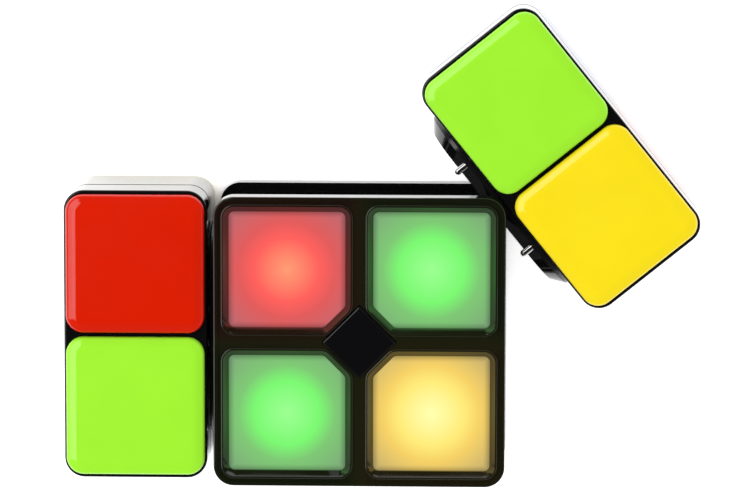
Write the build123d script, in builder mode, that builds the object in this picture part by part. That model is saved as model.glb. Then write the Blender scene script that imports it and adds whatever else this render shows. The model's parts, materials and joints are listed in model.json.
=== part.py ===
from build123d import *
import os

os.makedirs("parts", exist_ok=True)

# A light-up flip-and-slide puzzle lying on its back, in millimetres. A square centre unit
# carries two blocks on carriages that run in a channel round its four sides.
# X runs along the row of three, Y up the face and Z from the back to the front.
# The origin is the middle of the centre unit's back.

# ---------------------------------------------------------------- driving dimensions
core_side = 72.0  # the square centre unit
core_corner = 5.0
depth = 37.0  # front to back, the same for all three pieces
mid = depth / 2
lip = 6.0  # thickness of the lips in front of and behind the channel
wall = 2.0  # the centre unit's back wall

block_width = 35.4
block_length = 71.7
block_corner = 5.0
block_wall = 1.8
tile_thickness = 2.4
tile_slope = (2.4, 0.95)  # how far a tile's crown slopes inward and down to its edge
tile_crown_round = 4.0
tile_edge_round = 1.2
tile_corner = 4.3
tile_gap = 1.0
tile_margin = 0.55  # from a tile to the block's side

side_gap = 1.65  # from the centre unit to a block
seam_level = 22.3  # height of the parting line round each block
axle_inset = 7.0  # from a side of the centre unit to the runner's axle
left_shift = 1.35  # how far the left block stands above the middle
right_swing = 38.9  # how far the right block has turned round its corner, in degrees

window = 28.8
window_pitch = 35.7
window_corner = 1.5
window_cut = 5.3  # the corner cut off each window, next to the start button
button_side = 12.9

# ---------------------------------------------------------------- the channel
axle_line = core_side / 2 - axle_inset  # half the square that the axles run along
axle_radius = 2.0
axle_half = 8.2
knuckle_radius = 3.6
neck_half = 5.5
slack = 0.4

channel_half = mid - lip  # half the channel's width, front to back
channel_floor = axle_line + 4.3
pin_groove_floor = axle_line + 3.05
pin_groove_half = 9.6
guide_outer = axle_line + axle_radius + slack
guide_inner = axle_line - axle_radius - slack
guide_half = axle_half + slack
neck_groove_half = neck_half + slack
neck_wall = axle_line - knuckle_radius - slack

# ---------------------------------------------------------------- places
shell_front = depth - tile_thickness
inner_face = core_side / 2 + side_gap
block_x = inner_face + block_width / 2
tile_width = block_width - 2 * tile_margin
tile_length = tile_width + 0.1
tile_y = (tile_length + tile_gap) / 2

# The moving pieces are drawn on the right of the centre unit, at its middle height,
# and are then put in place on both sides.
SIDES = {
    "left": Location((0, left_shift, 0)) * Location((0, 0, 0), (0, 0, 180)),
    "right": Location((axle_line, axle_line, 0), (0, 0, right_swing)) * Location((-axle_line, 0, 0)),
}


# ---------------------------------------------------------------- helpers
def write(piece, name):
    """Label a finished piece and write it to its own file."""
    piece.label = name
    export_step(piece, f"parts/{name}.step")


def write_both(piece, name):
    """Write a moving piece twice, in its place on the left and on the right."""
    for side, place in SIDES.items():
        write(place * piece, f"{side}_{name}")


def plate(size_x, size_y, radius, low, high, at=(0, 0), mode=Mode.ADD):
    """Add or cut a plate with rounded corners between two heights."""
    with BuildSketch(Plane.XY.offset(low)) as outline:
        with Locations(at):
            RectangleRounded(size_x, size_y, radius)
    extrude(outline.sketch, amount=high - low, mode=mode)


def square(half, radius, low, high, mode=Mode.ADD):
    """Add or cut a square plate, given as half its side."""
    plate(2 * half, 2 * half, radius, low, high, mode=mode)


def posts(radius, low, high, spots, mode=Mode.ADD):
    """Add or cut round posts between two heights."""
    with BuildSketch(Plane.XY.offset(low)) as outline:
        with Locations(*spots):
            Circle(radius)
    extrude(outline.sketch, amount=high - low, mode=mode)


def discs(radius, x_low, x_high, spots=((0, 0),), mode=Mode.ADD):
    """Add or cut round discs that lie along X, at places counted from the middle height."""
    with BuildSketch(Plane.YZ.offset(x_low)) as outline:
        with Locations(*[(y, mid + z) for y, z in spots]):
            Circle(radius)
    extrude(outline.sketch, amount=x_high - x_low, mode=mode)


def edges_at(shape, level):
    """The edges that lie flat at one height."""
    return shape.edges().filter_by_position(Axis.Z, level - 0.01, level + 0.01)


def corners(x, y):
    """The four points of a rectangle about the origin, given as half its sides."""
    return [(x, y), (-x, y), (-x, -y), (x, -y)]


# ---------------------------------------------------------------- centre unit: housings
cavity_wide = 30.4  # half the inside behind the lips
cavity_middle = neck_wall  # half the inside beside the axle guide
cavity_narrow = neck_wall - 1.6  # half the inside beside the neck groove
middle_step = 10.1  # heights of the steps, from the middle plane
narrow_step = 7.3
housing_screw_tip = mid + narrow_step - 1.5
back_round = 1.0

housing_screw_spots = corners(21.2, 21.2)
rear_post = 3.3
front_post = 2.8
screw_shank = 1.1
screw_play = 0.1
screw_head = 2.0
head_play = 0.2
head_seat = 8.0
head_height = 1.5
drive_slot = (2.6, 0.6)
drive_depth = 0.7

bezel_skirt_half = 33.0
fit_gap = 0.1
bezel_back = depth - 4.0
bezel_level = 36.2

cells_half_x = 24.8  # inside of the battery compartment
cells_half_y = 16.8
compartment_wall = 0.9
door_thickness = 1.2
door_low_x = -27.0
door_high_x = 31.0
door_size_x = door_high_x - door_low_x
door_mid_x = (door_low_x + door_high_x) / 2
door_half_y = 18.0
door_gap = 0.25
door_key_y = 9.0
door_key_size = 5.0
door_key_reach = 1.4
door_screw_spot = (28.3, 0)
door_screw_tip = mid - middle_step - 1.2
door_post = 3.0
door_boss = 2.6
door_head_back = 0.25

speaker_spot = (0, 24.1)
grille_slots = 5
grille_pitch = 2.3
grille_slot = (14.0, 1.1)
switch_spot = (6.0, -24.5)
switch_travel = 3.0
switch_window = (8.4, 4.4)


def track_steps(sign):
    """The stepped outside of one housing half, from the lip to the middle plane."""
    def level(distance):
        return mid + sign * distance

    square(pin_groove_floor, pin_groove_floor - axle_line, level(channel_half), level(pin_groove_half))
    square(channel_floor, channel_floor - axle_line, level(pin_groove_half), level(neck_groove_half))
    square(neck_wall, 1.0, level(neck_groove_half), mid)
    with BuildSketch(Plane.XY.offset(level(guide_half))) as guide:
        RectangleRounded(2 * guide_outer, 2 * guide_outer, axle_radius + slack)
        RectangleRounded(2 * guide_inner, 2 * guide_inner, 1.0, mode=Mode.SUBTRACT)
    extrude(guide.sketch, amount=sign * (neck_groove_half - guide_half), mode=Mode.SUBTRACT)


with BuildPart() as rear_housing:
    square(core_side / 2, core_corner, 0, lip)
    fillet(rear_housing.edges().group_by(Axis.Z)[0], back_round)
    track_steps(-1)
    square(cavity_wide, 2.0, wall, mid - middle_step, mode=Mode.SUBTRACT)
    square(cavity_middle, 1.5, mid - middle_step, mid - narrow_step, mode=Mode.SUBTRACT)
    square(cavity_narrow, 1.0, mid - narrow_step, mid, mode=Mode.SUBTRACT)
    # screw posts, with the heads sunk deep in the back
    posts(rear_post, wall, mid, housing_screw_spots)
    posts(screw_head + head_play, 0, head_seat, housing_screw_spots, mode=Mode.SUBTRACT)
    posts(screw_shank + screw_play, head_seat, mid, housing_screw_spots, mode=Mode.SUBTRACT)
    # battery compartment, its door recess and the post for the door's screw
    with BuildSketch(Plane.XY.offset(wall)) as compartment:
        Rectangle(2 * (cells_half_x + compartment_wall), 2 * (cells_half_y + compartment_wall))
        Rectangle(2 * cells_half_x, 2 * cells_half_y, mode=Mode.SUBTRACT)
    extrude(compartment.sketch, amount=mid - narrow_step - wall)
    posts(door_post, wall, mid - middle_step, [door_screw_spot])
    posts(screw_shank, wall, door_screw_tip + 0.6, [door_screw_spot], mode=Mode.SUBTRACT)
    posts(door_boss + 0.3, 0, wall, [door_screw_spot], mode=Mode.SUBTRACT)
    plate(2 * cells_half_x, 2 * cells_half_y, 0.5, 0, wall, mode=Mode.SUBTRACT)
    plate(door_size_x + 2 * door_gap, 2 * (door_half_y + door_gap), 1.5, 0, door_thickness,
          at=(door_mid_x, 0), mode=Mode.SUBTRACT)
    for key_y in (-door_key_y, door_key_y):
        plate(2 * (door_key_reach + door_gap), door_key_size + 2 * door_gap, 0.5, 0, door_thickness,
              at=(door_low_x, key_y), mode=Mode.SUBTRACT)
    # sound slots and the window for the power switch
    with BuildSketch() as slots:
        with Locations(speaker_spot):
            with GridLocations(0, grille_pitch, 1, grille_slots):
                SlotOverall(*grille_slot)
        with Locations(switch_spot):
            RectangleRounded(*switch_window, 0.6)
    extrude(slots.sketch, amount=wall, mode=Mode.SUBTRACT)
write(rear_housing.part, "rear_housing")

with BuildPart() as front_housing:
    track_steps(1)
    square(bezel_skirt_half - fit_gap, 2.5, depth - lip, bezel_back)
    square(cavity_narrow, 1.0, mid, mid + narrow_step, mode=Mode.SUBTRACT)
    square(cavity_middle, 1.5, mid + narrow_step, mid + middle_step, mode=Mode.SUBTRACT)
    square(cavity_wide, 2.0, mid + middle_step, bezel_back, mode=Mode.SUBTRACT)
    posts(front_post, mid, mid + narrow_step, housing_screw_spots)
    posts(screw_shank, mid, housing_screw_tip + 0.5, housing_screw_spots, mode=Mode.SUBTRACT)
write(front_housing.part, "front_housing")

with BuildPart() as housing_screws:
    posts(screw_head, head_seat - head_height, head_seat, housing_screw_spots)
    posts(screw_shank, head_seat, housing_screw_tip, housing_screw_spots)
    with BuildSketch(Plane.XY.offset(head_seat - head_height)) as drives:
        with Locations(*housing_screw_spots):
            Rectangle(*drive_slot)
            Rectangle(*drive_slot, rotation=90)
    extrude(drives.sketch, amount=drive_depth, mode=Mode.SUBTRACT)
write(housing_screws.part, "housing_screws")

# ---------------------------------------------------------------- centre unit: front
ring_width = 1.9  # raised frame round each window
ring_bevel = 1.35
ring_bevel_depth = 1.6
crest_round = 0.3
rim_width = 1.05
rim_level = 36.8
rim_round = 0.35
lens_flange = 0.7
lens_flange_top = bezel_back + 1.0
lens_front = 35.2
button_hole = button_side + 0.4
button_flange = 14.2
button_flange_top = bezel_back + 1.3
button_back = bezel_back + 0.1
button_travel = 1.0
button_round = 0.5
lens_back = bezel_back + 0.05

board_back = mid + narrow_step + 0.05
board_front = board_back + 1.6
dome_radius = 5.6
dome_top_radius = 3.0
dome_top = 32.2
tray_front = bezel_back - 0.05
lamp_place = 16.0
lamp_side = 5.0
lamp_height = 1.4
chamber_side = 26.4
chamber_taper = 32
button_post = 16.6

cell_radius = 5.25
cell_length = 44.5
cell_nub = 1.0
cell_pitch = 11.1
cell_level = 7.5
contact_low = 3.2
contact_high = 11.0
contact_tip = 22.4
contact_sheet = 0.5
contact_width = 5.0
speaker_rim = 4.2
speaker_size = (24.0, 12.4)
speaker_wall = 1.2
cone_size = (21.4, 9.8)
cone_back = wall + 0.5
cone_front = wall + 1.2
voice_coil = 3.4
magnet_radius = 5.4

switch_top = 6.0
stem_size = 2.4
stem_top = 3.4
knob_length = 4.2
knob_width = 3.9
knob_back = 0.4


def window_outline(level, grow=0.0):
    """The outline of the top right window, grown evenly by some amount."""
    with BuildSketch(Plane.XY.offset(level)) as outline:
        with Locations((window_pitch / 2, window_pitch / 2)):
            Rectangle(window, window)
        chamfer(outline.vertices().sort_by_distance((0, 0, level))[0], window_cut)
        fillet(outline.vertices(), window_corner)
        if grow:
            offset(amount=grow)
    return outline


def four_windows(low, high, grow=0.0, mode=Mode.ADD):
    """Add or cut the outlines of all four windows between two heights."""
    with BuildSketch(Plane.XY.offset(low)) as outlines:
        with PolarLocations(0, 4):
            add(window_outline(0, grow).sketch_local)
    extrude(outlines.sketch, amount=high - low, mode=mode)


def diamond(side, low, high, mode=Mode.ADD, radius=0.5):
    """Add or cut a square that stands on its corner."""
    with BuildSketch(Plane.XY.offset(low)) as outline:
        RectangleRounded(side, side, radius, rotation=45)
    extrude(outline.sketch, amount=high - low, mode=mode)


with BuildPart() as window_bevel:
    loft([window_outline(depth - ring_bevel_depth).sketch, window_outline(depth, ring_bevel).sketch])

with BuildPart() as front_bezel:
    square(core_side / 2, core_corner, depth - lip, rim_level)
    fillet(edges_at(front_bezel, rim_level), rim_round)
    square(core_side / 2 - rim_width, core_corner - rim_width, bezel_level, rim_level, mode=Mode.SUBTRACT)
    square(bezel_skirt_half, 2.6, depth - lip, bezel_back, mode=Mode.SUBTRACT)
    four_windows(bezel_level, depth, ring_width)
    fillet(edges_at(front_bezel, depth), crest_round)
    four_windows(bezel_back, depth, mode=Mode.SUBTRACT)
    with PolarLocations(0, 4):
        add(window_bevel.part, mode=Mode.SUBTRACT)
    four_windows(bezel_back, lens_flange_top, lens_flange + fit_gap, mode=Mode.SUBTRACT)
    diamond(button_hole, bezel_back, depth, mode=Mode.SUBTRACT)
    diamond(button_flange + 0.4, bezel_back, button_flange_top + 0.1, mode=Mode.SUBTRACT)
write(front_bezel.part, "front_bezel")

with BuildPart() as lens:
    extrude(window_outline(lens_back, lens_flange).sketch, amount=lens_flange_top - lens_back)
    extrude(window_outline(lens_flange_top, -fit_gap).sketch, amount=lens_front - lens_flange_top)
    fillet(lens.edges().group_by(Axis.Z)[-1], 0.3)
for turn, corner_name in enumerate(["top_right", "top_left", "bottom_left", "bottom_right"]):
    write(Rotation(0, 0, 90 * turn) * lens.part, f"lens_{corner_name}")

with BuildPart() as start_button:
    diamond(button_flange, button_back, button_flange_top)
    diamond(button_side, button_flange_top, depth)
    fillet(edges_at(start_button, depth), button_round)
    posts(dome_top_radius - 0.4, dome_top, button_back, [(0, 0)])
write(start_button.part, "start_button")

# ---------------------------------------------------------------- centre unit: inside
with BuildPart() as button_dome:
    with BuildSketch(Plane.XZ) as section:
        with BuildLine():
            Polyline(
                (0, dome_top), (dome_top_radius, dome_top), (dome_radius - 1.0, board_front + 0.7),
                (dome_radius, board_front + 0.7), (dome_radius, board_front),
                (dome_radius - 1.8, board_front), (dome_top_radius - 0.9, dome_top - 1.0),
                (0, dome_top - 1.0), close=True)
        make_face()
    revolve(section.sketch, axis=Axis.Z)
write(button_dome.part, "button_dome")

with BuildPart() as reflector_tray:
    square(cavity_middle - fit_gap, 1.4, board_front, mid + middle_step + fit_gap)
    square(cavity_wide - 2 * fit_gap, 1.8, mid + middle_step + fit_gap, tray_front)
    with BuildSketch(Plane.XY.offset(tray_front)) as chamber:
        with PolarLocations(0, 4):
            with Locations((lamp_place, lamp_place)):
                RectangleRounded(chamber_side, chamber_side, 2.0)
    with BuildSketch(Plane.XY.offset(tray_front)) as keep:
        RectangleRounded(button_post, button_post, 1.0, rotation=45)
    extrude((chamber.sketch - keep.sketch), amount=-(tray_front - board_front), taper=chamber_taper,
            mode=Mode.SUBTRACT)
    posts(dome_radius + 0.3, board_front, tray_front, [(0, 0)], mode=Mode.SUBTRACT)
    diamond(button_flange + 0.6, button_back - button_travel - 0.2, tray_front, mode=Mode.SUBTRACT)
write(reflector_tray.part, "reflector_tray")

with BuildPart() as lamp_board:
    square(cavity_middle - fit_gap, 1.4, board_back, board_front)
    posts(0.8, board_back, board_front, [(9, 0), (-9, 0)], mode=Mode.SUBTRACT)
write(lamp_board.part, "lamp_board")

with BuildPart() as colour_lamps:
    with BuildSketch(Plane.XY.offset(board_front)) as lamp_bases:
        with Locations(*corners(lamp_place, lamp_place)):
            RectangleRounded(lamp_side, lamp_side, 0.4)
    extrude(lamp_bases.sketch, amount=lamp_height)
    posts(lamp_side / 2 - 0.5, board_front + lamp_height, board_front + lamp_height + 1.2,
          corners(lamp_place, lamp_place))
    fillet(colour_lamps.edges().group_by(Axis.Z)[-1], 1.0)
write(colour_lamps.part, "colour_lamps")

with BuildPart() as controller_chip:
    plate(11, 11, 0.4, board_back - 1.5, board_back, at=(-8, 6))
write(controller_chip.part, "controller_chip")

with BuildPart() as capacitor:
    with BuildSketch(Plane.YZ.offset(8)) as can:
        with Locations((-10, board_back - 3.1)):
            Circle(3.0)
    extrude(can.sketch, amount=9.0)
    fillet(capacitor.edges(), 0.4)
write(capacitor.part, "capacitor")

with BuildPart() as battery_cells:
    for cell_y in (-cell_pitch, 0, cell_pitch):
        with BuildSketch(Plane.YZ.offset(-cell_length / 2)) as cell:
            with Locations((cell_y, cell_level)):
                Circle(cell_radius)
        extrude(cell.sketch, amount=cell_length - cell_nub)
        with BuildSketch(Plane.YZ.offset(cell_length / 2 - cell_nub)) as nub:
            with Locations((cell_y, cell_level)):
                Circle(1.9)
        extrude(nub.sketch, amount=cell_nub)
write(battery_cells.part, "battery_cells")

with BuildPart() as battery_contacts:
    with BuildSketch(Plane.XZ) as contact:
        with BuildLine():
            Polyline(
                (cells_half_x, contact_low), (cells_half_x, contact_high),
                (cells_half_x - contact_sheet, contact_high), (contact_tip, cell_level + 0.4),
                (contact_tip, cell_level - 0.4), (cells_half_x - contact_sheet, contact_low), close=True)
        make_face()
        with BuildLine():
            Polyline(
                (cells_half_x - 0.5, contact_high - 1.7), (cells_half_x - 0.5, contact_low + 1.7),
                (contact_tip + 0.9, cell_level), close=True)
        make_face(mode=Mode.SUBTRACT)
        mirror(about=Plane.YZ)
    for cell_y in (-cell_pitch, 0, cell_pitch):
        contact_plane = contact.sketch.moved(Location((0, cell_y, 0)))
        extrude(contact_plane, amount=contact_width / 2, both=True)
write(battery_contacts.part, "battery_contacts")

with BuildPart() as speaker_frame:
    plate(*speaker_size, 2.0, wall + fit_gap, speaker_rim, at=speaker_spot)
    plate(*[size - 2 * speaker_wall for size in speaker_size], 1.5, wall + fit_gap, speaker_rim - 0.6,
          at=speaker_spot, mode=Mode.SUBTRACT)
    posts(voice_coil + 1.0, speaker_rim - 0.6, speaker_rim, [speaker_spot], mode=Mode.SUBTRACT)
write(speaker_frame.part, "speaker_frame")

with BuildPart() as speaker_cone:
    plate(*cone_size, 1.4, cone_back, cone_front, at=speaker_spot)
    posts(voice_coil, cone_front, speaker_rim, [speaker_spot])
    posts(voice_coil - 0.4, cone_back, cone_back + 0.3, [speaker_spot], mode=Mode.SUBTRACT)
write(speaker_cone.part, "speaker_cone")

with BuildPart() as speaker_magnet:
    posts(magnet_radius, speaker_rim, mid - middle_step - 0.3, [speaker_spot])
    fillet(speaker_magnet.edges().group_by(Axis.Z)[-1], 0.4)
write(speaker_magnet.part, "speaker_magnet")

# ---------------------------------------------------------------- power switch and battery door
knob_place = (switch_spot[0] - switch_travel / 2, switch_spot[1])

with BuildPart() as switch_body:
    plate(11.0, 6.0, 0.5, wall + fit_gap, switch_top, at=switch_spot)
    plate(stem_size + switch_travel + 0.6, stem_size + 0.3, 0.3, wall + fit_gap, stem_top + 0.2,
          at=switch_spot, mode=Mode.SUBTRACT)
write(switch_body.part, "switch_body")

with BuildPart() as power_switch_knob:
    plate(knob_length, knob_width, 0.4, knob_back, wall - fit_gap, at=knob_place)
    with BuildSketch(Plane.XY.offset(knob_back)) as grips:
        with Locations(knob_place):
            with GridLocations(1.1, 0, 3, 1):
                Rectangle(0.4, knob_width)
    extrude(grips.sketch, amount=0.35, mode=Mode.SUBTRACT)
    plate(stem_size, stem_size, 0.3, wall - fit_gap, stem_top, at=knob_place)
write(power_switch_knob.part, "power_switch_knob")

with BuildPart() as battery_door:
    plate(door_size_x, 2 * door_half_y, 1.2, 0, door_thickness, at=(door_mid_x, 0))
    for key_y in (-door_key_y, door_key_y):
        plate(2 * door_key_reach, door_key_size, 0.3, 0, door_thickness, at=(door_low_x, key_y))
    plate(2 * cells_half_x - 0.8, 2 * cells_half_y - 0.8, 0.5, door_thickness, wall - fit_gap)
    posts(door_boss, door_thickness, wall - fit_gap, [door_screw_spot])
    posts(screw_head + screw_play, 0, door_thickness, [door_screw_spot], mode=Mode.SUBTRACT)
    posts(screw_shank + screw_play, door_thickness, wall, [door_screw_spot], mode=Mode.SUBTRACT)
    with BuildSketch() as finger_grips:
        with Locations((door_low_x + 7.0, 0)):
            with GridLocations(2.2, 0, 4, 1):
                SlotOverall(14.0, 1.0, rotation=90)
    extrude(finger_grips.sketch, amount=0.4, mode=Mode.SUBTRACT)
write(battery_door.part, "battery_door")

with BuildPart() as battery_door_screw:
    posts(screw_head, door_head_back, door_thickness, [door_screw_spot])
    posts(screw_shank - 0.05, door_thickness, door_screw_tip, [door_screw_spot])
    with BuildSketch(Plane.XY.offset(door_head_back)) as drive:
        with Locations(door_screw_spot):
            Rectangle(*drive_slot)
            Rectangle(*drive_slot, rotation=90)
    extrude(drive.sketch, amount=0.5, mode=Mode.SUBTRACT)
write(battery_door_screw.part, "battery_door_screw")

# ---------------------------------------------------------------- carriages
base_size = (53.0, 2 * channel_half - 1.0)
runner_size = (46.8, 18.0)
base_outer = inner_face - 0.3
base_inner = inner_face - 1.6
runner_inner = inner_face - 4.0
swivel_radius = 5.4
swivel_flange = 7.5
swivel_gap = 0.1
flange_start = inner_face + block_wall + swivel_gap
flange_end = flange_start + 1.6
guide_pin_spots = [(-13.0, 10.9), (13.0, 10.9)]
guide_pin_radius = 0.9
guide_pin_tip = inner_face - 5.2
carriage_screw_tip = axle_line + axle_radius + 0.8
carriage_screw_head = 2.6


def stadium(size, x):
    """A slot-shaped outline that faces along X, with its length along Y."""
    with BuildSketch(Plane.YZ.offset(x)) as outline:
        with Locations((0, mid)):
            SlotOverall(*size)
    return outline.sketch


with BuildPart() as carriage_base:
    extrude(stadium(base_size, base_inner), amount=base_outer - base_inner)
    fillet(carriage_base.edges().group_by(Axis.X)[-1], 0.4)
    discs(swivel_radius, base_outer, flange_start)
    discs(swivel_flange, flange_start, flange_end)
    discs(screw_shank, base_inner, flange_end, mode=Mode.SUBTRACT)
    discs(guide_pin_radius, base_inner, base_outer, guide_pin_spots, mode=Mode.SUBTRACT)
write_both(carriage_base.part, "carriage_base")

with BuildPart() as runner:
    loft([stadium(base_size, base_inner), stadium(runner_size, runner_inner)])
    with BuildSketch(Plane.XY.offset(mid - neck_half)) as neck:
        with BuildLine():
            Polyline(
                (runner_inner + 0.5, neck_half), (runner_inner, neck_half), (axle_line, knuckle_radius),
                (axle_line, -knuckle_radius), (runner_inner, -neck_half), (runner_inner + 0.5, -neck_half),
                close=True)
        make_face()
        with Locations((axle_line, 0)):
            Circle(knuckle_radius)
    extrude(neck.sketch, amount=2 * neck_half)
    posts(axle_radius, mid - neck_half, mid + neck_half, [(axle_line, 0)], mode=Mode.SUBTRACT)
    discs(screw_shank, carriage_screw_tip, base_inner, mode=Mode.SUBTRACT)
    discs(guide_pin_radius, runner_inner, base_inner, guide_pin_spots, mode=Mode.SUBTRACT)
write_both(runner.part, "runner")

with BuildPart() as runner_axle:
    posts(axle_radius, mid - axle_half, mid + axle_half, [(axle_line, 0)])
    chamfer(runner_axle.edges(), 0.3)
write_both(runner_axle.part, "runner_axle")

with BuildPart() as guide_pins:
    discs(guide_pin_radius, guide_pin_tip, base_outer - 0.2, guide_pin_spots)
    fillet(guide_pins.edges().group_by(Axis.X)[0], guide_pin_radius - 0.1)
write_both(guide_pins.part, "guide_pins")

with BuildPart() as carriage_screw:
    discs(screw_shank, carriage_screw_tip, flange_end)
    discs(carriage_screw_head, flange_end, flange_end + 1.6)
    fillet(carriage_screw.edges().group_by(Axis.X)[-1], 0.5)
write_both(carriage_screw.part, "carriage_screw")

# ---------------------------------------------------------------- blocks
post_inset = (12.9, 30.7)
post_spots = [(block_x + x, y) for x, y in corners(*post_inset)]
post_radius = 2.7
post_floor = 1.0
peg_radius = 1.2
peg_reach = 1.6
peg_inset = 9.0
peg_spots = [
    (block_x + x, row + y) for row in (-tile_y, tile_y) for x, y in corners(peg_inset, peg_inset)
]
screw_seat = 4.0
seam_groove = 0.6  # half the width of the groove that the two halves leave between them
bore_radius = swivel_radius + 0.06
gate_play = 0.05


def swivel_gate(half_width, mode=Mode.ADD):
    """The part of a block's inner wall that closes over the swivel as the halves meet."""
    with BuildSketch(Plane.XY.offset(mid)) as gate:
        with Locations((inner_face + block_wall / 2, 0)):
            Rectangle(block_wall, 2 * half_width)
    extrude(gate.sketch, amount=seam_level - mid, mode=mode)


def half_shell(outer, inward, screw_hole):
    """One half of a block's casing, from the seam to its front or its rear face."""
    cavity_end = outer + inward * block_wall
    with BuildPart() as shell:
        plate(block_width, block_length, block_corner, seam_level, outer, at=(block_x, 0))
        fillet(edges_at(shell, outer), 0.5)
        chamfer(edges_at(shell, seam_level), seam_groove)
        plate(block_width - 2 * block_wall, block_length - 2 * block_wall, block_corner - block_wall,
              seam_level, cavity_end, at=(block_x, 0), mode=Mode.SUBTRACT)
        posts(post_radius, seam_level, cavity_end, post_spots)
        posts(screw_hole, seam_level, outer + inward * post_floor, post_spots, mode=Mode.SUBTRACT)
        posts(peg_radius + 0.1, outer, cavity_end, peg_spots, mode=Mode.SUBTRACT)
    return shell.part


with BuildPart() as front_shell:
    add(half_shell(shell_front, -1, screw_shank))
    swivel_gate(bore_radius - gate_play)
    discs(bore_radius, inner_face, inner_face + block_wall, mode=Mode.SUBTRACT)
write_both(front_shell.part, "block_front_shell")

with BuildPart() as rear_shell:
    add(half_shell(depth - shell_front, 1, screw_shank + screw_play))
    posts(screw_head + head_play, depth - shell_front, screw_seat, post_spots, mode=Mode.SUBTRACT)
    swivel_gate(bore_radius, mode=Mode.SUBTRACT)
    discs(bore_radius, inner_face, inner_face + block_wall, mode=Mode.SUBTRACT)
write_both(rear_shell.part, "block_rear_shell")

with BuildPart() as block_screws:
    posts(screw_head, screw_seat - head_height, screw_seat, post_spots)
    posts(screw_shank, screw_seat, shell_front - 4.0, post_spots)
write_both(block_screws.part, "block_screws")


def tile(row):
    """One coloured front tile with its four pegs, in the row at the given Y."""
    with BuildPart() as cap:
        plate(tile_width, tile_length, tile_corner, shell_front, depth, at=(block_x, row))
        chamfer(edges_at(cap, depth), *tile_slope, reference=cap.faces().sort_by(Axis.Z)[-1])
        fillet(edges_at(cap, depth - tile_slope[1]), tile_edge_round)
        fillet(edges_at(cap, depth), tile_crown_round)
        posts(peg_radius, shell_front - peg_reach, shell_front,
              [(block_x + x, row + y) for x, y in corners(peg_inset, peg_inset)])
    return cap.part


# Half a turn carries the left block to its side, so its upper tiles are drawn in the lower row.
TILE_ROWS = {"left": {"upper": -tile_y, "lower": tile_y}, "right": {"upper": tile_y, "lower": -tile_y}}
for side, rows in TILE_ROWS.items():
    for row_name, row in rows.items():
        front_tile = tile(row)
        rear_tile = mirror(front_tile, about=Plane.XY.offset(mid))
        write(SIDES[side] * front_tile, f"{side}_front_tile_{row_name}")
        write(SIDES[side] * rear_tile, f"{side}_rear_tile_{row_name}")
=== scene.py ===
import json
from math import radians

import bpy
from mathutils import Matrix, Vector


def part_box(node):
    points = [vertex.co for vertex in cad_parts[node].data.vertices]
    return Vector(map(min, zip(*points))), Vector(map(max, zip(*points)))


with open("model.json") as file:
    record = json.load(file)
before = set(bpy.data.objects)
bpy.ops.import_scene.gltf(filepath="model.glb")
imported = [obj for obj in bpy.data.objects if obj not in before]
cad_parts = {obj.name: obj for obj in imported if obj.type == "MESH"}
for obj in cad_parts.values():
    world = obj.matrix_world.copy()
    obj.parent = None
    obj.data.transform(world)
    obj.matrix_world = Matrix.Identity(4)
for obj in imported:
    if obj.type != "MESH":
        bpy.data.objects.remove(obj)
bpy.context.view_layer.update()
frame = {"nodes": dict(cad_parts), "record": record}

MM = 0.001  # the scene is in metres

# ---------------------------------------------------------------- the view
CAMERA_PLACE = Vector((40.6, 176.0, 1198.2)) * MM
CAMERA_TURN = radians(1.84)
CAMERA_TILT = radians(-7.48)
CAMERA_ROLL = radians(0.10)
CAMERA_LENS = 230.5  # the lens and the sensor's width are in millimetres
SENSOR_WIDTH = 36


def add_camera():
    """A long lens nearly square to the toy's face, a little towards its top edge and its right."""
    data = bpy.data.cameras.new("camera")
    data.lens = CAMERA_LENS
    data.sensor_width = SENSOR_WIDTH
    camera = bpy.data.objects.new("camera", data)
    bpy.context.scene.collection.objects.link(camera)
    aim = Matrix.Rotation(CAMERA_TURN, 4, "Y") @ Matrix.Rotation(CAMERA_TILT, 4, "X")
    camera.matrix_world = Matrix.Translation(CAMERA_PLACE) @ aim @ Matrix.Rotation(CAMERA_ROLL, 4, "Z")
    bpy.context.scene.camera = camera


# ---------------------------------------------------------------- materials
# The scale of a noise is its grain: how many patches there are in a metre.
NOISE_DETAIL = 3.0
NOISE_LOW, NOISE_HIGH = 0.35, 0.7  # the part of the noise's range that changes the gloss
HANDLING_GRAIN = 60.0
PIGMENT_GRAIN = 90.0
PIGMENT_DARK, PIGMENT_LIGHT = 0.96, 1.04
MOULDED_GRAIN = 700.0
MOULDED_RELIEF = 0.05 * MM
METAL_DARK = 0.93
METAL_GRAIN = 500.0
DRAWN_GRAIN = 900.0
DRAWN_RELIEF_GRAIN = 2500.0
DRAWN_RELIEF = 0.02 * MM
DRAWN_BUMP = 0.05
FROST_GRAIN = 2200.0
FROST_RELIEF = 0.03 * MM
FROST_BUMP = 0.25
FROST_LOW, FROST_HIGH = 0.35, 0.45
FROST_GLOSS = 0.2
FROST_BASE = 0.02  # how much of its edge colour a window gives back when its lamp is off


def new_material(name):
    """An empty node material, with its shader and its node tree."""
    material = bpy.data.materials.new(name)
    material.use_nodes = True
    tree = material.node_tree
    shader = tree.nodes["Principled BSDF"]
    return material, tree, shader


def object_noise(tree, scale):
    """Noise that stays with the object."""
    place = tree.nodes.new("ShaderNodeTexCoord")
    noise = tree.nodes.new("ShaderNodeTexNoise")
    noise.inputs["Scale"].default_value = scale
    noise.inputs["Detail"].default_value = NOISE_DETAIL
    tree.links.new(place.outputs["Object"], noise.inputs["Vector"])
    return noise


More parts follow.
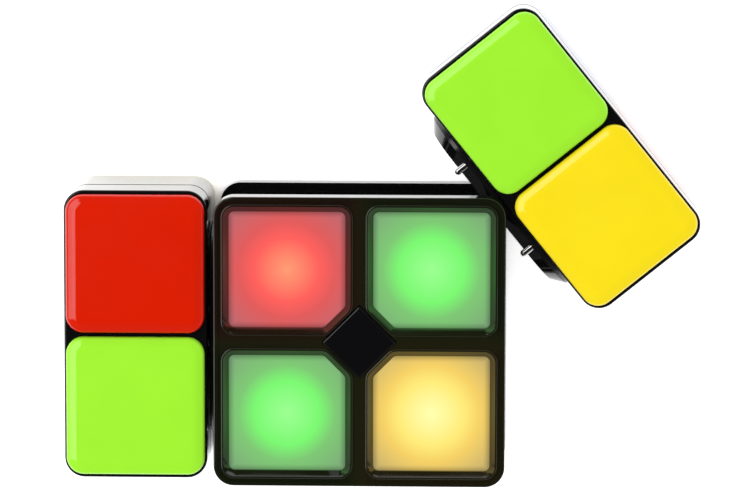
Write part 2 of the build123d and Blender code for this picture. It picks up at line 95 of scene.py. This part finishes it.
def vary_roughness(tree, shader, low, high, scale=HANDLING_GRAIN):
    """Handling marks: broad patches a little duller than the rest."""
    noise = object_noise(tree, scale)
    spread = tree.nodes.new("ShaderNodeMapRange")
    spread.inputs["From Min"].default_value = NOISE_LOW
    spread.inputs["From Max"].default_value = NOISE_HIGH
    spread.inputs["To Min"].default_value = low
    spread.inputs["To Max"].default_value = high
    tree.links.new(noise.outputs["Fac"], spread.inputs["Value"])
    tree.links.new(spread.outputs["Result"], shader.inputs["Roughness"])


def add_bump(tree, shader, scale, strength, distance):
    """Fine relief of a given depth in metres."""
    noise = object_noise(tree, scale)
    bump = tree.nodes.new("ShaderNodeBump")
    bump.inputs["Strength"].default_value = strength
    bump.inputs["Distance"].default_value = distance
    tree.links.new(noise.outputs["Fac"], bump.inputs["Height"])
    tree.links.new(bump.outputs["Normal"], shader.inputs["Normal"])


def vary_colour(tree, shader, dark, light, scale):
    """Slight cloudiness of a pigment."""
    noise = object_noise(tree, scale)
    mix = tree.nodes.new("ShaderNodeMix")
    mix.data_type = "RGBA"
    mix.inputs["A"].default_value = (*dark, 1)
    mix.inputs["B"].default_value = (*light, 1)
    tree.links.new(noise.outputs["Fac"], mix.inputs["Factor"])
    tree.links.new(mix.outputs["Result"], shader.inputs["Base Color"])


def shade(colour, factor):
    """A colour made darker or lighter."""
    return tuple(channel * factor for channel in colour)


def plastic(name, colour, low, high, bump=0.05, gloss=0.5):
    """Moulded plastic: pigment, gloss that varies with handling, and a fine relief."""
    material, tree, shader = new_material(name)
    vary_colour(tree, shader, shade(colour, PIGMENT_DARK), shade(colour, PIGMENT_LIGHT), PIGMENT_GRAIN)
    vary_roughness(tree, shader, low, high)
    add_bump(tree, shader, MOULDED_GRAIN, bump, MOULDED_RELIEF)
    shader.inputs["Specular IOR Level"].default_value = gloss
    return material


def metal(name, colour, low, high):
    """Plated metal with drawn marks."""
    material, tree, shader = new_material(name)
    vary_colour(tree, shader, shade(colour, METAL_DARK), colour, METAL_GRAIN)
    vary_roughness(tree, shader, low, high, DRAWN_GRAIN)
    add_bump(tree, shader, DRAWN_RELIEF_GRAIN, DRAWN_BUMP, DRAWN_RELIEF)
    shader.inputs["Metallic"].default_value = 1.0
    return material


def window_reach(tree, node):
    """The offset of a point from the middle of a window's face, and the longer of its sideways parts."""
    low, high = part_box(node)
    middle = ((low.x + high.x) / 2, (low.y + high.y) / 2, high.z)
    place = tree.nodes.new("ShaderNodeTexCoord")
    offset = tree.nodes.new("ShaderNodeVectorMath")
    offset.operation = "SUBTRACT"
    offset.inputs[1].default_value = middle
    tree.links.new(place.outputs["Object"], offset.inputs[0])
    size = tree.nodes.new("ShaderNodeVectorMath")
    size.operation = "ABSOLUTE"
    tree.links.new(offset.outputs["Vector"], size.inputs[0])
    split = tree.nodes.new("ShaderNodeSeparateXYZ")
    tree.links.new(size.outputs["Vector"], split.inputs["Vector"])
    reach = tree.nodes.new("ShaderNodeMath")
    reach.operation = "MAXIMUM"
    tree.links.new(split.outputs["X"], reach.inputs[0])
    tree.links.new(split.outputs["Y"], reach.inputs[1])
    return offset.outputs["Vector"], reach.outputs["Value"]


def fade(tree, value, start, end, first, last):
    """A smooth change from one level to another between two distances."""
    fall = tree.nodes.new("ShaderNodeMapRange")
    fall.interpolation_type = "SMOOTHSTEP"
    for name, level in (("From Min", start), ("From Max", end), ("To Min", first), ("To Max", last)):
        fall.inputs[name].default_value = level
    tree.links.new(value, fall.inputs["Value"])
    return fall.outputs["Result"]


def scaled(tree, colour, factor):
    """A colour, or the output that carries one, times the output of a factor."""
    glow = tree.nodes.new("ShaderNodeVectorMath")
    glow.operation = "SCALE"
    if isinstance(colour, tuple):
        glow.inputs[0].default_value = colour
    else:
        tree.links.new(colour, glow.inputs[0])
    tree.links.new(factor, glow.inputs["Scale"])
    return glow.outputs["Vector"]


def lit_lens(name, node, glow):
    """A frosted window lit from behind: brightest over the lamp and dimmer to its edges, with painted shade
    from the bezel's rim along its border.
    """
    material, tree, shader = new_material(name)
    offset, reach = window_reach(tree, node)
    distance = tree.nodes.new("ShaderNodeVectorMath")
    distance.operation = "LENGTH"
    tree.links.new(offset, distance.inputs[0])
    scale = tree.nodes.new("ShaderNodeMapRange")
    scale.inputs["From Max"].default_value = GLOW_REACH[-1] * MM
    tree.links.new(distance.outputs["Value"], scale.inputs["Value"])
    ramp = tree.nodes.new("ShaderNodeValToRGB")
    stops = ramp.color_ramp.elements
    stops.remove(stops[1])
    for place, colour in zip(GLOW_REACH, glow):
        stops.new(place / GLOW_REACH[-1]).color = (*colour, 1)
    stops.remove(stops[0])
    tree.links.new(scale.outputs["Result"], ramp.inputs["Fac"])
    # painted shade: the window's light is darkened near its edge, where the bezel's rim stands over it
    edge = fade(tree, reach, EDGE_START, EDGE_END, 1.0, PAINTED_EDGE_SHADE)
    tree.links.new(scaled(tree, ramp.outputs["Color"], edge), shader.inputs["Emission Color"])
    shader.inputs["Emission Strength"].default_value = 1.0
    shader.inputs["Base Color"].default_value = (*shade(glow[-1], FROST_BASE), 1)
    shader.inputs["Specular IOR Level"].default_value = FROST_GLOSS
    vary_roughness(tree, shader, FROST_LOW, FROST_HIGH)
    add_bump(tree, shader, FROST_GRAIN, FROST_BUMP, FROST_RELIEF)
    return material


def smoked_bezel_with_painted_glow():
    """Smoked plastic with a painted glow: round each window the bezel emits a little of that window's
    colour.
    """
    material = plastic("smoked_gloss", (0.005, 0.0045, 0.003), 0.04, 0.09, bump=0.02, gloss=0.85)
    tree = material.node_tree
    total = None
    # painted glow: the bezel emits each window's colour, fading with distance from that window
    for node, colour in PAINTED_GLOW_TINTS.items():
        reach = window_reach(tree, node)[1]
        glow = scaled(tree, colour, fade(tree, reach, PAINTED_GLOW_START, PAINTED_GLOW_END, 1.0, 0.0))
        if total is not None:
            both = tree.nodes.new("ShaderNodeVectorMath")
            tree.links.new(total, both.inputs[0])
            tree.links.new(glow, both.inputs[1])
            glow = both.outputs["Vector"]
        total = glow
    shader = tree.nodes["Principled BSDF"]
    tree.links.new(total, shader.inputs["Emission Color"])
    shader.inputs["Emission Strength"].default_value = 1.0
    return material


def srgb(red, green, blue):
    """A colour given as it looks on a screen, from 0 to 255, as linear light."""
    return tuple(
        (c / 255 / 12.92) if c <= 10 else ((c / 255 + 0.055) / 1.055) ** 2.4
        for c in (red, green, blue))


# A lit window's colours: over the lamp, in the bright middle, in the haze round it, and at the far corners.
GLOW_REACH = (0.0, 8.0, 12.0, 19.0)  # millimetres from the window's middle
GLOW_RED = (srgb(255, 155, 115), srgb(255, 95, 90), srgb(225, 90, 90), srgb(190, 105, 110))
GLOW_GREEN = (srgb(155, 255, 145), srgb(122, 248, 112), srgb(125, 200, 115), srgb(125, 170, 120))
GLOW_YELLOW = (srgb(255, 255, 175), srgb(255, 235, 120), srgb(245, 208, 100), srgb(198, 176, 110))

# Painted glow: the tint of each window's colour that the bezel emits round it, standing in for the lamps'
# light falling on the bezel.
PAINTED_GLOW_TINTS = {
    "lens_top_left": (0.008, 0.0025, 0.001),
    "lens_top_right": (0.003, 0.006, 0.001),
    "lens_bottom_left": (0.003, 0.006, 0.001),
    "lens_bottom_right": (0.008, 0.006, 0.001),
}
PAINTED_GLOW_START = 15.0 * MM  # the painted glow fades out between these distances from the window's middle
PAINTED_GLOW_END = 22.0 * MM
EDGE_START = 12.7 * MM  # and the window's light is darkened near its edge between these, a painted shade from the bezel's rim
EDGE_END = 14.6 * MM
PAINTED_EDGE_SHADE = 0.55

PIGMENT = 0.74  # how much of the screen colour a tile's pigment gives back
RED = shade(srgb(222, 30, 0), PIGMENT)
LIME = shade(srgb(166, 248, 52), PIGMENT)
YELLOW = shade(srgb(255, 229, 26), 1.03 * PIGMENT)  # the brightest of the four
BLUE = shade(srgb(20, 95, 205), PIGMENT)


def make_materials():
    """One material for each slot of the record but lens_green, which two windows need for themselves."""
    return {
        "black_gloss": plastic("black_gloss", (0.0035, 0.0035, 0.004), 0.05, 0.11, bump=0.02),
        "smoked_gloss": smoked_bezel_with_painted_glow(),
        "black_moulded": plastic("black_moulded", (0.007, 0.007, 0.0075), 0.12, 0.2, bump=0.04),
        "tile_red": plastic("tile_red", RED, 0.08, 0.13, bump=0.02, gloss=0.4),
        "tile_green": plastic("tile_green", LIME, 0.08, 0.13, bump=0.02, gloss=0.4),
        "tile_yellow": plastic("tile_yellow", YELLOW, 0.08, 0.13, bump=0.02, gloss=0.4),
        "tile_blue": plastic("tile_blue", BLUE, 0.08, 0.13, bump=0.02, gloss=0.4),
        "lens_red": lit_lens("lens_red", "lens_top_left", GLOW_RED),
        "lens_yellow": lit_lens("lens_yellow", "lens_bottom_right", GLOW_YELLOW),
        "white_moulded": plastic("white_moulded", (0.8, 0.8, 0.78), 0.3, 0.4),
        "circuit_board": plastic("circuit_board", (0.02, 0.14, 0.06), 0.3, 0.4),
        "lamp_epoxy": plastic("lamp_epoxy", (0.8, 0.8, 0.75), 0.1, 0.2),
        "silicone": plastic("silicone", (0.5, 0.5, 0.52), 0.5, 0.6),
        "steel": metal("steel", (0.62, 0.62, 0.63), 0.25, 0.4),
        "pin_plating": metal("pin_plating", (0.5, 0.49, 0.48), 0.12, 0.2),
        "cell_jacket": plastic("cell_jacket", (0.05, 0.2, 0.11), 0.25, 0.35),
        "ferrite": plastic("ferrite", (0.05, 0.05, 0.055), 0.5, 0.6, bump=0.3),
        "cone_film": plastic("cone_film", (0.08, 0.08, 0.09), 0.3, 0.4),
    }


def dress_nodes():
    """Give every CAD node the material of its slot."""
    materials = make_materials()
    for entry in frame["record"]["subparts"]:
        node, slot = entry["node"], entry["material_slot"]
        if slot == "lens_green":
            material = lit_lens(f"lens_green_{node}", node, GLOW_GREEN)
        else:
            material = materials[slot]
        mesh = frame["nodes"][node].data
        mesh.materials.clear()
        mesh.materials.append(material)


# ---------------------------------------------------------------- studio
FLOOR_HALF = 3.0
FLOOR_LEVEL = -0.02 * MM
FLOOR_COLOUR = 0.9
FLOOR_ROUGHNESS = 0.7
FLOOR_GLOW = 0.75
PAINTED_SHADE_REACH = 8 * MM  # how near a piece has to be for the painted shade to darken the floor's glow
PAINTED_SHADE_SAMPLES = 6
PAINTED_SHADE_DARK, PAINTED_SHADE_OPEN = 0.2, 0.55  # the openness at which the glow starts, and at which it is full, past the painted shade
TENT = 1.02  # the brightness that matt surfaces see
# The height of the sky that gloss mirrors, and its brightness there.
SKY = ((0.0, 1.0), (0.14, 1.0), (0.28, 0.25), (0.6, 0.12), (0.85, 0.02), (1.0, 0.005))
LIGHTS_AIM = (0, 0, 0.02)
# Each softbox: its place, its length and breadth, and its power.
SOFTBOXES = {
    "left_softbox": ((-0.56, 0.14, 0.80), (1.0, 0.45), 4.4),
    "right_softbox": ((0.80, -0.24, 0.50), (1.0, 0.3), 0.5),
}


def add_floor():
    """A pale, evenly lit table top, which the pieces lie on, with painted shade in the narrow gaps beside
    them.
    """
    mesh = bpy.data.meshes.new("floor")
    corners = [(-1, -1), (1, -1), (1, 1), (-1, 1)]
    mesh.from_pydata([(x * FLOOR_HALF, y * FLOOR_HALF, FLOOR_LEVEL) for x, y in corners], [], [(0, 1, 2, 3)])
    floor = bpy.data.objects.new("floor", mesh)
    bpy.context.scene.collection.objects.link(floor)
    material, tree, shader = new_material("floor")
    shader.inputs["Base Color"].default_value = (FLOOR_COLOUR,) * 3 + (1,)
    shader.inputs["Roughness"].default_value = FLOOR_ROUGHNESS
    # the table glows evenly, but its glow is taken out in narrow gaps between pieces: painted shade
    occlusion = tree.nodes.new("ShaderNodeAmbientOcclusion")
    occlusion.samples = PAINTED_SHADE_SAMPLES
    occlusion.inputs["Distance"].default_value = PAINTED_SHADE_REACH
    glow_left_by_painted_shade = fade(tree, occlusion.outputs["AO"], PAINTED_SHADE_DARK, PAINTED_SHADE_OPEN, 0.0, 1.0)
    tree.links.new(scaled(tree, (1.0, 1.0, 1.0), glow_left_by_painted_shade), shader.inputs["Emission Color"])
    shader.inputs["Emission Strength"].default_value = FLOOR_GLOW
    mesh.materials.append(material)


def add_softbox(name, place, size, power):
    """An oblong soft light that faces the toy."""
    data = bpy.data.lights.new(name, "AREA")
    data.shape = "RECTANGLE"
    data.size, data.size_y = size
    data.energy = power
    lamp = bpy.data.objects.new(name, data)
    bpy.context.scene.collection.objects.link(lamp)
    lamp.location = place
    direction = Vector(LIGHTS_AIM) - Vector(place)
    lamp.rotation_euler = direction.to_track_quat("-Z", "Y").to_euler()


def add_world():
    """Even light from all round, and darkness overhead for the gloss to mirror."""
    world = bpy.data.worlds.new("studio")
    bpy.context.scene.world = world
    world.use_nodes = True
    tree = world.node_tree
    background = tree.nodes["Background"]
    place = tree.nodes.new("ShaderNodeTexCoord")
    split = tree.nodes.new("ShaderNodeSeparateXYZ")
    ramp = tree.nodes.new("ShaderNodeValToRGB")
    stops = ramp.color_ramp.elements
    stops[0].position, stops[1].position = SKY[0][0], SKY[-1][0]
    stops[0].color, stops[1].color = (SKY[0][1],) * 3 + (1,), (SKY[-1][1],) * 3 + (1,)
    for height, level in SKY[1:-1]:
        stops.new(height).color = (level, level, level, 1)
    tree.links.new(place.outputs["Generated"], split.inputs["Vector"])
    tree.links.new(split.outputs["Z"], ramp.inputs["Fac"])
    tree.links.new(ramp.outputs["Color"], background.inputs["Color"])
    # matt surfaces are lit by the whole tent, evenly
    path = tree.nodes.new("ShaderNodeLightPath")
    even = tree.nodes.new("ShaderNodeBackground")
    even.inputs["Color"].default_value = (TENT, TENT, TENT, 1)
    mix = tree.nodes.new("ShaderNodeMixShader")
    tree.links.new(path.outputs["Is Diffuse Ray"], mix.inputs["Fac"])
    tree.links.new(background.outputs["Background"], mix.inputs[1])
    tree.links.new(even.outputs["Background"], mix.inputs[2])
    tree.links.new(mix.outputs["Shader"], tree.nodes["World Output"].inputs["Surface"])


def add_studio():
    """The floor, the sky and the two softboxes, with colours shown as they are."""
    bpy.context.scene.view_settings.view_transform = "Standard"
    add_floor()
    add_world()
    for name, (place, size, power) in SOFTBOXES.items():
        add_softbox(name, place, size, power)


add_camera()
dress_nodes()
add_studio()
